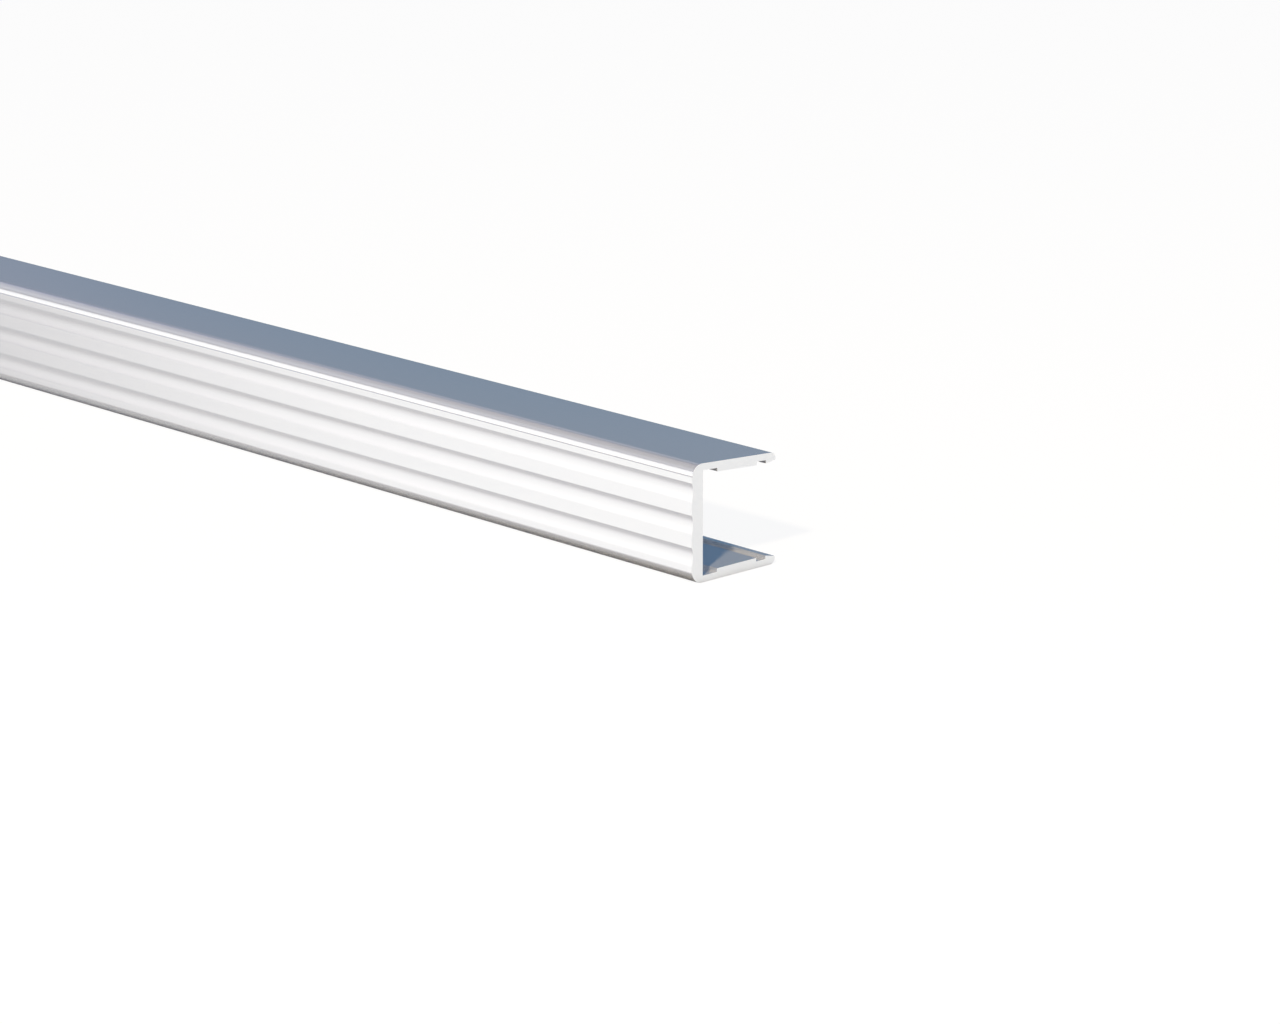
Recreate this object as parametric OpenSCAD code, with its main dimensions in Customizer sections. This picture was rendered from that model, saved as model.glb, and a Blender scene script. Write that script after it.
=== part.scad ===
// U-shaped aluminium edging bar for the edge of a board, extruded in one piece and sawn to length.
// It lies on one flange along X: the fluted web faces -Y, the open side faces +Y, +Z is up.
// The origin is under the middle of the bar, on the surface that it lies on. Sizes in millimetres.

/* [Bar] */
// Length of the bar
bar_length = 1000; // [200:50:3000]

/* [Section] */
// Height over both flanges, measured at the fluted face
outer_height = 22; // [20:0.5:40]
// Depth from the fluted face to the flange tips
outer_depth = 20; // [14:0.5:40]
// Thickness of the web
web_thickness = 2.6; // [1.6:0.1:5]
// Thickness of each flange at its pad
flange_thickness = 1.9; // [1.5:0.1:3.5]
// Angle by which each flange leans towards the other, in degrees
toe_in = 1.9; // [0:0.1:4]

/* [Edges] */
// Height of the band that slopes in at each outer corner, up to its crease in the fluted face
corner_band = 2; // [1.5:0.05:3]
// Angle by which that band slopes in from the fluted face, in degrees
corner_slope = 24; // [10:1:30]
// Radius between that band and the flange
corner_radius = 2.2; // [0.5:0.1:2.8]
// Radius of the outer edge of each flange tip
tip_radius = 1.1; // [0.2:0.1:1.3]
// How much thinner the lip gets towards the tip, to lead the board in
lead_in = 0.5; // [0.1:0.1:0.7]

/* [Flutes] */
// Number of flutes in the web
flute_count = 3; // [1:1:3]
// Width of each flute
flute_width = 3.4; // [1:0.1:3.8]
// Depth of each flute
flute_depth = 0.3; // [0.1:0.05:0.8]
// Flat band between two flutes
band_width = 2.5; // [0.5:0.1:2.9]

/* [Grooves] */
// Width of the groove at the foot of each flange
foot_groove_width = 3.4; // [1:0.1:6]
// Width of the groove behind the lip of each flange
lip_groove_width = 2.2; // [1:0.1:5]
// Width of the lip at the tip of each flange
lip_width = 2.3; // [1.5:0.1:5]
// Depth of the grooves below the pad
groove_depth = 0.65; // [0.2:0.05:1]

/* [Hidden] */
$fn = 180;

// Distances from the fluted face, along the depth of the section
pad_start = web_thickness + foot_groove_width;
lip_start = outer_depth - lip_width;
pad_end = lip_start - lip_groove_width;

// Thickness of a flange under its grooves and at its tip
groove_floor = flange_thickness - groove_depth;
tip_thickness = flange_thickness - lead_in;

flute_pitch = flute_width + band_width;
flute_radius = (pow(flute_width / 2, 2) + pow(flute_depth, 2)) / (2 * flute_depth);

// Where the sloped band would meet the outer face of the lower flange if the corner were sharp
corner_inset = corner_band * tan(corner_slope) / (1 + tan(toe_in) * tan(corner_slope));
corner_point = [corner_inset, lean_height(corner_inset, 0)];

// Distance of the corner's rounding centre from the fluted face, so that it touches band and flange
corner_depth = (corner_radius - (corner_radius / cos(toe_in) - corner_band) * sin(corner_slope))
    / (cos(corner_slope) + tan(toe_in) * sin(corner_slope));

// Centres of the roundings of the lower flange
corner_centre = [corner_depth, lean_height(corner_depth, corner_radius)];
tip_centre = [outer_depth - tip_radius, lean_height(outer_depth - tip_radius, tip_radius)];

// Rearmost and foremost points of the section once the lower flange lies flat
back_y = lying_y([0, corner_band]);
front_y = lying_y([tip_centre[0], outer_height - tip_centre[1]]) + tip_radius;

// Room by which a cut runs past the surface that it opens
clear = 1;
// Overlap by which a rounding runs into the faces beside it, so that no sliver is left between them
touch = 0.0005;

// Height, at a distance from the fluted face, of the line that lies within the lower flange
// at the given distance above its outer face
function lean_height(distance, above) = distance * tan(toe_in) + above / cos(toe_in);

// Where a point of the section ends up across the bar when the lower flange lies flat
function lying_y(point) = point[0] * cos(toe_in) + point[1] * sin(toe_in);

// Both halves of the section, the second mirrored about the middle of its height
module both_halves() {
    children();
    translate([0, outer_height]) mirror([0, 1]) children();
}

// Outer outline before rounding: sloped bands at the corners, and flanges that close in towards the tips
module outer_outline() {
    tip_height = lean_height(outer_depth, 0);
    polygon([
        [0, corner_band],
        corner_point,
        [outer_depth, tip_height],
        [outer_depth, outer_height - tip_height],
        [corner_point[0], outer_height - corner_point[1]],
        [0, outer_height - corner_band]
    ]);
}

// Waste outside the rounding between the sloped band and the lower flange
module corner_waste() {
    reach = corner_radius + clear;
    difference() {
        polygon([
            corner_centre,
            corner_centre - reach * [cos(corner_slope), sin(corner_slope)],
            corner_centre + reach / corner_radius * (corner_point - corner_centre),
            corner_centre + reach * [sin(toe_in), -cos(toe_in)]
        ]);
        translate(corner_centre) circle(r = corner_radius + touch);
    }
}

// Waste outside the round outer edge of the lower flange's tip
module tip_waste() {
    difference() {
        polygon([
            [tip_centre[0] + tip_radius * sin(toe_in), tip_centre[1] - tip_radius * cos(toe_in)],
            [tip_centre[0] + tip_radius * sin(toe_in), tip_centre[1] - tip_radius - clear],
            [outer_depth + clear, tip_centre[1] - tip_radius - clear],
            [outer_depth + clear, tip_centre[1]],
            [outer_depth, tip_centre[1]],
            tip_centre
        ]);
        translate(tip_centre) circle(r = tip_radius + touch);
    }
}

// Space between the flanges: foot groove, pad, groove behind the lip, and the lip's lead-in
module board_channel() {
    past_tip = outer_depth + clear;
    past_thickness = tip_thickness - lead_in * clear / lip_width;
    lower = [
        [web_thickness, lean_height(web_thickness, groove_floor)],
        [pad_start, lean_height(pad_start, groove_floor)],
        [pad_start, lean_height(pad_start, flange_thickness)],
        [pad_end, lean_height(pad_end, flange_thickness)],
        [pad_end, lean_height(pad_end, groove_floor)],
        [lip_start, lean_height(lip_start, groove_floor)],
        [lip_start, lean_height(lip_start, flange_thickness)],
        [past_tip, lean_height(past_tip, past_thickness)]
    ];
    upper = [for (i = [len(lower) - 1 : -1 : 0]) [lower[i][0], outer_height - lower[i][1]]];
    polygon(concat(lower, upper));
}

// Shallow round flutes along the web, spread evenly about the middle of its height
module flutes() {
    for (i = [0 : flute_count - 1])
        translate([flute_depth - flute_radius, outer_height / 2 + (i - (flute_count - 1) / 2) * flute_pitch])
            circle(r = flute_radius);
}

module section() {
    difference() {
        outer_outline();
        both_halves() corner_waste();
        both_halves() tip_waste();
        board_channel();
        flutes();
    }
}

// The bar, turned so that the outer face of its lower flange lies flat
module profile() {
    color("silver")
        translate([-bar_length / 2, -(back_y + front_y) / 2, 0])
            rotate([90, 0, 90])
                linear_extrude(height = bar_length)
                    rotate(-toe_in)
                        section();
}

profile();
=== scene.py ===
import math

import bpy
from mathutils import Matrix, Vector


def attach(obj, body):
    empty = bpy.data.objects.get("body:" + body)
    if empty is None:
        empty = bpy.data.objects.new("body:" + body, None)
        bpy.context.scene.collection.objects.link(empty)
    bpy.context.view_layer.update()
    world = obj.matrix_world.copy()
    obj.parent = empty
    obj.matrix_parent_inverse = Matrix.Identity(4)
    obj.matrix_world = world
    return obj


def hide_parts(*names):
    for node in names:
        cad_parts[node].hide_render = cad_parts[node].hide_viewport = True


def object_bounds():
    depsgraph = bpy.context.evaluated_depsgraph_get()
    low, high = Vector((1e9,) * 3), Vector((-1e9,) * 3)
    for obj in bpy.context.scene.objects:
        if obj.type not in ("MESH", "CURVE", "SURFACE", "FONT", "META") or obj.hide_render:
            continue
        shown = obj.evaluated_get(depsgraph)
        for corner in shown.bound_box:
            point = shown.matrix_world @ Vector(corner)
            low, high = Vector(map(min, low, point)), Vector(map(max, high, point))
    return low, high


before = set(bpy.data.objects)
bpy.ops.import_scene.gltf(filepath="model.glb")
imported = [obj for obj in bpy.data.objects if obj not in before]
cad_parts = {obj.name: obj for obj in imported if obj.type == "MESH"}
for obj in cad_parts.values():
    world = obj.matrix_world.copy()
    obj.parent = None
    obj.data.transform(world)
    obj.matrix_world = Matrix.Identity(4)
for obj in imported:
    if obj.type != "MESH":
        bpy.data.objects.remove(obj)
cad_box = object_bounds()
scene = bpy.context.scene

# The bar: a U-shaped edging bar of bare aluminium, pressed through a die in one piece and sawn to length.
# Its section is drawn by its corners, each with its own rounding, and swept along the bar.
# It lies loose on the floor, on the outer face of its lower flange. Sizes are in millimetres.
MM = 0.001
length = (cad_box[1][0] - cad_box[0][0]) / MM
outer_height, outer_depth = 22.0, 20.0
web_thickness, flange_thickness = 2.6, 1.9
toe_in = math.radians(1.9)
foot_groove_width, lip_groove_width, lip_width = 3.4, 2.2, 2.3
groove_depth, lead_in = 0.65, 0.5
corner_band, corner_slope = 2.0, math.radians(24)
corner_radius, tip_radius = 2.2, 1.1
crease_radius, crease_rise, edge_radius = 1.5, 0.12, 0.05
flute_count, flute_width, flute_depth, band_width = 3, 3.4, 0.3, 2.5
line_width, line_depth = 0.28, 0.11

pad_start = web_thickness + foot_groove_width
lip_start = outer_depth - lip_width
pad_end = lip_start - lip_groove_width
groove_floor = flange_thickness - groove_depth
tip_thickness = flange_thickness - lead_in
corner_inset = corner_band * math.tan(corner_slope) / (1 + math.tan(toe_in) * math.tan(corner_slope))
flute_radius = (flute_width**2 / 4 + flute_depth**2) / (2 * flute_depth)
flute_apex = flute_width / 2 * math.tan(math.asin(flute_width / 2 / flute_radius))

# How each kind of corner is rounded: the radius and the number of steps in the arc
corner_arc = (corner_radius, 24)
tip_arc = (tip_radius, 12)
edge_arc = (edge_radius, 3)
flute_arc = (flute_radius, 24)
crease_arc = (crease_radius, 8)
sharp = (0, 1)


def within_flange(distance, above):
    """A point of the lower flange, by its distance from the fluted face and its height in the flange."""
    return distance, distance * math.tan(toe_in) + above / math.cos(toe_in)


# Corners of the section as depth, height, radius and steps, once round the outline
lower_corners = [
    (*within_flange(corner_inset, 0), *corner_arc),
    (*within_flange(outer_depth, 0), *tip_arc),
    (*within_flange(outer_depth, tip_thickness), *edge_arc),
    (*within_flange(lip_start, flange_thickness), *edge_arc),
    (*within_flange(lip_start, groove_floor), *edge_arc),
    (*within_flange(pad_end, groove_floor), *edge_arc),
    (*within_flange(pad_end, flange_thickness), *edge_arc),
    (*within_flange(pad_start, flange_thickness), *edge_arc),
    (*within_flange(pad_start, groove_floor), *edge_arc),
    (*within_flange(web_thickness, groove_floor), *edge_arc),
]
upper_corners = [(y, outer_height - z, r, n) for y, z, r, n in reversed(lower_corners)]

# The fluted face, downwards: a fine line under the upper corner's crease, the flutes, the lower crease
line_top = outer_height - corner_band
face_corners = [
    (0, line_top, *sharp),
    (line_depth, line_top - line_width / 2, *sharp),
    (0, line_top - line_width, *sharp),
]
for flute in range(flute_count):
    middle = outer_height / 2 + ((flute_count - 1) / 2 - flute) * (flute_width + band_width)
    face_corners.append((0, middle + flute_width / 2, *sharp))
    face_corners.append((flute_apex, middle, *flute_arc))
    face_corners.append((0, middle - flute_width / 2, *sharp))
face_corners.append((0, corner_band + crease_rise, *crease_arc))


def laid_flat(y, z):
    """Where a point of the section ends up when the lower flange lies flat."""
    return y * math.cos(toe_in) + z * math.sin(toe_in), z * math.cos(toe_in) - y * math.sin(toe_in)


corners = lower_corners + upper_corners + face_corners
tip_y, tip_z = within_flange(outer_depth - tip_radius, tip_radius)
back_y = laid_flat(0, corner_band)[0]
front_y = laid_flat(tip_y, outer_height - tip_z)[0] + tip_radius
middle_y = (back_y + front_y) / 2
lying = [laid_flat(y, z) for y, z, r, n in corners]

# The sweep turns the section half round, so it is drawn upside down and facing the other way
section = bpy.data.meshes.new("section")
section.from_pydata(
    [((middle_y - y) * MM, -z * MM, 0) for y, z in lying],
    [(i, (i + 1) % len(lying)) for i in range(len(lying))],
    [],
)
rounding = section.attributes.new("rounding", "FLOAT", "POINT")
rounding.data.foreach_set("value", [r * MM for y, z, r, n in corners])
steps = section.attributes.new("steps", "INT", "POINT")
steps.data.foreach_set("value", [n for y, z, r, n in corners])
bar = bpy.data.objects.new("bar", section)
scene.collection.objects.link(bar)


class Wire:
    """An output of a node that can be used in arithmetic: each operation adds a Math node to its tree."""

    def __init__(self, socket):
        self.socket = socket

    @staticmethod
    def node(tree, kind, settings=None, sockets=None, out=0):
        """Adds a node, sets its properties or a ramp's stops, feeds its inputs and returns one output."""
        made = tree.nodes.new(kind)
        for name, value in (settings or {}).items():
            if name == "stops":
                Wire.set_stops(made.color_ramp.elements, value)
            else:
                setattr(made, name, value)
        for name, value in (sockets or {}).items():
            if isinstance(value, Wire):
                tree.links.new(value.socket, made.inputs[name])
            else:
                made.inputs[name].default_value = value
        return Wire(made.outputs[out]) if made.outputs else made

    @staticmethod
    def set_stops(marks, stops):
        """Gives a ramp these stops, each a place from 0 to 1 and a colour, in place of its own two."""
        marks.remove(marks[1])
        marks[0].position = stops[0][0]
        marks[0].color = (*stops[0][1], 1)
        for place, shade in stops[1:]:
            marks.new(place).color = (*shade, 1)

    def other(self, name):
        """Another output of the same node."""
        return Wire(self.socket.node.outputs[name])

    def between(self, first, second):
        """The colour that goes from the first to the second as this value goes from 0 to 1."""
        # A Mix node's colours are its inputs 6 and 7 and its output 2
        sockets = {0: self, 6: first, 7: second}
        return Wire.node(self.socket.id_data, "ShaderNodeMix", {"data_type": "RGBA"}, sockets, 2)

    def math(self, operation, *others):
        """A Math node on this value and then the others."""
        sockets = dict(enumerate((self, *others)))
        return Wire.node(self.socket.id_data, "ShaderNodeMath", {"operation": operation}, sockets)

    def turned(self, operation, first):
        """A Math node on another value and then this one."""
        return Wire.node(self.socket.id_data, "ShaderNodeMath", {"operation": operation}, {0: first, 1: self})

    def __add__(self, other):
        return self.math("ADD", other)

    __radd__ = __add__

    def __sub__(self, other):
        return self.math("SUBTRACT", other)

    def __rsub__(self, other):
        return self.turned("SUBTRACT", other)

    def __mul__(self, other):
        return self.math("MULTIPLY", other)

    __rmul__ = __mul__

    def __truediv__(self, other):
        return self.math("DIVIDE", other)

    def __rtruediv__(self, other):
        return self.turned("DIVIDE", other)


# Bare metal: fine die lines run along the bar, and the blade left arcs on the sawn ends.
# The scales of both are per metre.
bare_tint, sawn_tint = (0.9, 0.9, 0.9, 1), (0.9, 0.9, 0.88, 1)
metal_share = 0.78
bare_roughness, line_roughness, saw_roughness = 0.13, 0.06, 0.16
sawn_skin = 0.01
die_line_scale = (3, 1600, 1600)
blade_y, blade_z = 30, 170
saw_mark_scale, saw_mark_height = 2500, 2.5
relief_depth = 0.0015
metal = bpy.data.materials.new("extruded aluminium")
metal.use_nodes = True
surface = metal.node_tree
surface.nodes.clear()
spot = Wire.node(surface, "ShaderNodeTexCoord", out="Object")
from_middle = Wire.node(surface, "ShaderNodeSeparateXYZ", {}, {"Vector": spot}, "X").math("ABSOLUTE")
sawn = from_middle.math("GREATER_THAN", (length / 2 - sawn_skin) * MM)
stretched = Wire.node(surface, "ShaderNodeMapping", {}, {"Vector": spot, "Scale": die_line_scale})
die_lines = Wire.node(surface, "ShaderNodeTexNoise", {}, {"Vector": stretched, "Scale": 1, "Detail": 3})
from_blade = Wire.node(
    surface,
    "ShaderNodeMapping",
    {},
    {"Vector": spot, "Location": (0, -blade_y * MM, -blade_z * MM), "Scale": (0, 1, 1)},
)
blade_distance = Wire.node(
    surface, "ShaderNodeVectorMath", {"operation": "LENGTH"}, {0: from_blade}, "Value"
)
saw_marks = Wire.node(
    surface,
    "ShaderNodeTexNoise",
    {"noise_dimensions": "1D"},
    {"W": blade_distance, "Scale": saw_mark_scale, "Detail": 2},
)
relief = die_lines + (saw_mark_height * saw_marks - die_lines) * sawn
uneven = Wire.node(
    surface, "ShaderNodeBump", {}, {"Strength": 1, "Distance": relief_depth * MM, "Height": relief}
)
shader = Wire.node(
    surface,
    "ShaderNodeBsdfPrincipled",
    {},
    {
        "Base Color": sawn.between(bare_tint, sawn_tint),
        "Metallic": metal_share,
        "Roughness": bare_roughness + line_roughness * die_lines + saw_roughness * sawn,
        "Normal": uneven,
    },
)
Wire.node(surface, "ShaderNodeOutputMaterial", {}, {"Surface": shader})

# The sweep rounds the section's corners, draws it along the bar, closes both ends and keeps its edges crisp
merge_distance = 0.002
crisp_angle = math.radians(6)
sweep = bpy.data.node_groups.new("extrude section", "GeometryNodeTree")
sweep.interface.new_socket("Section", in_out="INPUT", socket_type="NodeSocketGeometry")
length_input = sweep.interface.new_socket("Length", in_out="INPUT", socket_type="NodeSocketFloat")
metal_input = sweep.interface.new_socket("Metal", in_out="INPUT", socket_type="NodeSocketMaterial")
sweep.interface.new_socket("Bar", in_out="OUTPUT", socket_type="NodeSocketGeometry")
drawn = Wire.node(sweep, "NodeGroupInput", out="Section")
half_length = drawn.other("Length") * 0.5
outline = Wire.node(sweep, "GeometryNodeMeshToCurve", {}, {"Mesh": drawn})
corner_rounding = Wire.node(
    sweep, "GeometryNodeInputNamedAttribute", {"data_type": "FLOAT"}, {"Name": "rounding"}
)
corner_steps = Wire.node(sweep, "GeometryNodeInputNamedAttribute", {"data_type": "INT"}, {"Name": "steps"})
rounded = Wire.node(
    sweep,
    "GeometryNodeFilletCurve",
    {"mode": "POLY"},
    {"Curve": outline, "Count": corner_steps, "Radius": corner_rounding},
)
left_end = Wire.node(sweep, "ShaderNodeCombineXYZ", {}, {"X": 0 - half_length})
right_end = Wire.node(sweep, "ShaderNodeCombineXYZ", {}, {"X": half_length})
axis = Wire.node(sweep, "GeometryNodeCurvePrimitiveLine", {}, {"Start": left_end, "End": right_end})
swept = Wire.node(
    sweep,
    "GeometryNodeCurveToMesh",
    {},
    {"Curve": axis, "Profile Curve": rounded, "Fill Caps": True},
)
whole = Wire.node(
    sweep, "GeometryNodeMergeByDistance", {}, {"Geometry": swept, "Distance": merge_distance * MM}
)
smooth = Wire.node(sweep, "GeometryNodeSetShadeSmooth", {"domain": "FACE"}, {"Geometry": whole})
edge_turn = Wire.node(sweep, "GeometryNodeInputMeshEdgeAngle")
creased = Wire.node(
    sweep,
    "GeometryNodeSetShadeSmooth",
    {"domain": "EDGE"},
    {"Geometry": smooth, "Selection": edge_turn.math("GREATER_THAN", crisp_angle), "Shade Smooth": False},
)
solid = Wire.node(sweep, "GeometryNodeRealizeInstances", {}, {"Geometry": creased})
finished = Wire.node(
    sweep, "GeometryNodeSetMaterial", {}, {"Geometry": solid, "Material": drawn.other("Metal")}
)
Wire.node(sweep, "NodeGroupOutput", {}, {"Bar": finished})

modifier = bar.modifiers.new("extrude", "NODES")
modifier.node_group = sweep
modifier[length_input.identifier] = length * MM
modifier[metal_input.identifier] = metal
evaluated = bar.evaluated_get(bpy.context.evaluated_depsgraph_get())
bar.data = bpy.data.meshes.new_from_object(evaluated)
bar.modifiers.clear()
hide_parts("profile")
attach(bar, "root")

# The floor: a large sheet of white paper that the bar lies on. It looks white and keeps the bar's shadow.
# The metal mirrors the room's lower half in it, with painted contact shade where the bar stands close to the
# paper: a black sheet weighed by ambient occlusion.
floor_size = 12000
paper_tint = (0.95, 0.95, 0.95, 1)
white_share = 0.92
contact_shade_distance = 4
bpy.ops.mesh.primitive_plane_add(size=floor_size * MM)
floor = bpy.context.object
floor.name = "floor"
paper = bpy.data.materials.new("white paper")
paper.use_nodes = True
sheet = paper.node_tree
sheet.nodes.clear()
seen = Wire.node(sheet, "ShaderNodeLightPath", out="Is Camera Ray")
mirrored = seen.other("Is Glossy Ray")
matt = Wire.node(sheet, "ShaderNodeBsdfDiffuse", {}, {"Color": paper_tint})
white = Wire.node(sheet, "ShaderNodeEmission", {}, {"Strength": 1})
plain = Wire.node(sheet, "ShaderNodeMixShader", {}, {0: seen * white_share, 1: matt, 2: white})
# Painted contact shade for mirrored rays: the paper turns into a black sheet as far as the bar closes it in,
# and is clear elsewhere
contact_openness = Wire.node(sheet, "ShaderNodeAmbientOcclusion", {"samples": 8}, {"Distance": contact_shade_distance * MM}, "AO")
painted_contact_shade = Wire.node(sheet, "ShaderNodeEmission", {}, {"Strength": 0})
clear = Wire.node(sheet, "ShaderNodeBsdfTransparent")
clear_with_painted_shade = Wire.node(sheet, "ShaderNodeMixShader", {}, {0: contact_openness, 1: painted_contact_shade, 2: clear})
shown = Wire.node(sheet, "ShaderNodeMixShader", {}, {0: mirrored, 1: plain, 2: clear_with_painted_shade})
Wire.node(sheet, "ShaderNodeOutputMaterial", {}, {"Surface": shown})
floor.data.materials.append(paper)

# The light: a small square lamp panel with a warm tone, hung high to the front right of the bar.
# It lights the fluted face, the sawn end and the floor, and throws the bar's shadow behind it.
# The metal does not mirror it, so no face turns white in views from the back.
lamp = bpy.data.lights.new("lamp panel", "AREA")
lamp.size = 0.1
lamp.energy = 31
lamp.color = (1.0, 0.85, 0.64)
lamp_panel = bpy.data.objects.new("lamp panel", lamp)
lamp_panel.location = (1.074, -0.955, 1.014)
lamp_panel.rotation_euler = (math.radians(48), 0, math.radians(31))
lamp_panel.visible_glossy = False
scene.collection.objects.link(lamp_panel)

# The room around: a bright wall at the front, grey-blue walls to the back and the left with a dark skirting,
# and a bright strip above the front wall. Its tones change with the height of a direction and with how far
# it points backwards, both from -1 to 1. Seen directly it is plain white.
rearward_x, rearward_y = -0.76, 0.65
least_square = 0.0001
wall_turn, wall_lean = (0.175, 0.32), 0.1
skirting_turn, skirting_top = (0.96, 0.99), (-0.05, -0.2)
skirting_tint = (0.05, 0.045, 0.045, 1)
strip_turn, strip_lean, strip_strength = (0.5, 0.3), 0.4, 1.3
room = bpy.data.worlds.new("room")
scene.world = room
room.use_nodes = True
around = room.node_tree
around.nodes.clear()
heading = Wire.node(around, "ShaderNodeTexCoord", out="Generated")
x = Wire.node(around, "ShaderNodeSeparateXYZ", {}, {"Vector": heading}, "X")
y, z = x.other("Y"), x.other("Z")
# The least square keeps a direction straight up or down from being divided by nothing
backwards = (rearward_x * x + rearward_y * y) / (x * x + y * y + least_square).math("SQRT")


def tones(value, stops):
    """Colours along a value that runs from -1 to 1."""
    places = [((place + 1) / 2, shade) for place, shade in stops]
    return Wire.node(around, "ShaderNodeValToRGB", {"stops": places}, {"Fac": value * 0.5 + 0.5})


def fade(value, start, end, most=1.0):
    """A number that rises smoothly from 0 at the start to the given most at the end."""
    sockets = {"Value": value, "From Min": start, "From Max": end, "To Max": most}
    return Wire.node(around, "ShaderNodeMapRange", {"interpolation_type": "SMOOTHSTEP"}, sockets)


front_wall = tones(
    z,
    [
        (-0.6, (0.2, 0.22, 0.26)),
        (-0.5, (0.35, 0.38, 0.45)),
        (-0.36, (0.77, 0.79, 0.86)),
        (-0.22, (0.87, 0.91, 0.96)),
        (0.1, (1.0, 1.02, 1.08)),
        (0.26, (1.0, 1.02, 1.08)),
        (0.34, (0.3, 0.34, 0.43)),
        (0.7, (0.19, 0.23, 0.34)),
    ],
)
back_walls = tones(
    backwards,
    [
        (0.3, (0.28, 0.31, 0.4)),
        (0.6, (0.34, 0.39, 0.5)),
        (0.85, (0.29, 0.33, 0.47)),
        (0.96, (0.08, 0.14, 0.27)),
        (0.99, (0.15, 0.21, 0.33)),
        (1.0, (0.08, 0.16, 0.28)),
    ],
)
back_light = tones(
    z,
    [
        (-0.68, (0.15, 0.15, 0.15)),
        (-0.6, (1.05, 1.0, 0.9)),
        (-0.53, (1.6, 1.5, 1.3)),
        (-0.46, (1.45, 1.35, 1.15)),
        (0.12, (1.25, 1.15, 1.05)),
        (0.25, (0.85, 0.9, 0.9)),
        (0.37, (0.85, 0.85, 0.85)),
        (0.5, (1.25, 1.25, 1.25)),
        (0.65, (0.65, 0.65, 0.65)),
    ],
)
strip = tones(
    z + strip_lean * backwards,
    [(0.34, (0, 0, 0)), (0.38, (1, 1, 1)), (0.41, (1, 1, 1)), (0.445, (0, 0, 0))],
)
lit_walls = Wire.node(
    around, "ShaderNodeVectorMath", {"operation": "MULTIPLY"}, {0: back_walls, 1: back_light}
)
# The front wall gives way to the back walls, a little later low down
turned_back = fade(backwards + wall_lean * z.math("MINIMUM", 0), *wall_turn)
walls = turned_back.between(front_wall, lit_walls)
skirting = fade(backwards, *skirting_turn) * fade(z, *skirting_top)
all_walls = skirting.between(walls, skirting_tint)
# The strip is at full strength over the front wall and ends before the back walls
strip_power = fade(backwards, *strip_turn, strip_strength)
glow = Wire.node(around, "ShaderNodeVectorMath", {"operation": "SCALE"}, {0: strip, "Scale": strip_power})
whole_room = Wire.node(around, "ShaderNodeVectorMath", {"operation": "ADD"}, {0: all_walls, 1: glow})
lit_room = Wire.node(around, "ShaderNodeBackground", {}, {"Color": whole_room})
white_room = Wire.node(around, "ShaderNodeBackground", {}, {"Color": (1, 1, 1, 1)})
looked_at = Wire.node(around, "ShaderNodeLightPath", out="Is Camera Ray")
surround = Wire.node(around, "ShaderNodeMixShader", {}, {0: looked_at, 1: lit_room, 2: white_room})
Wire.node(around, "ShaderNodeOutputWorld", {}, {"Surface": surround})

# The camera: it looks from the front right along the fluted face, slightly from above, with a long lens,
# so that the bar runs out of the picture on the left.
camera = bpy.data.cameras.new("camera")
camera.lens = 126.42
camera.sensor_width = 36
viewpoint = bpy.data.objects.new("camera", camera)
viewpoint.location = (1.07911, -0.51601, 0.22187)
viewpoint.rotation_euler = [math.radians(angle) for angle in (74.848, 1.437, 49.146)]
scene.collection.objects.link(viewpoint)
scene.camera = viewpoint
scene.view_settings.view_transform = "Standard"
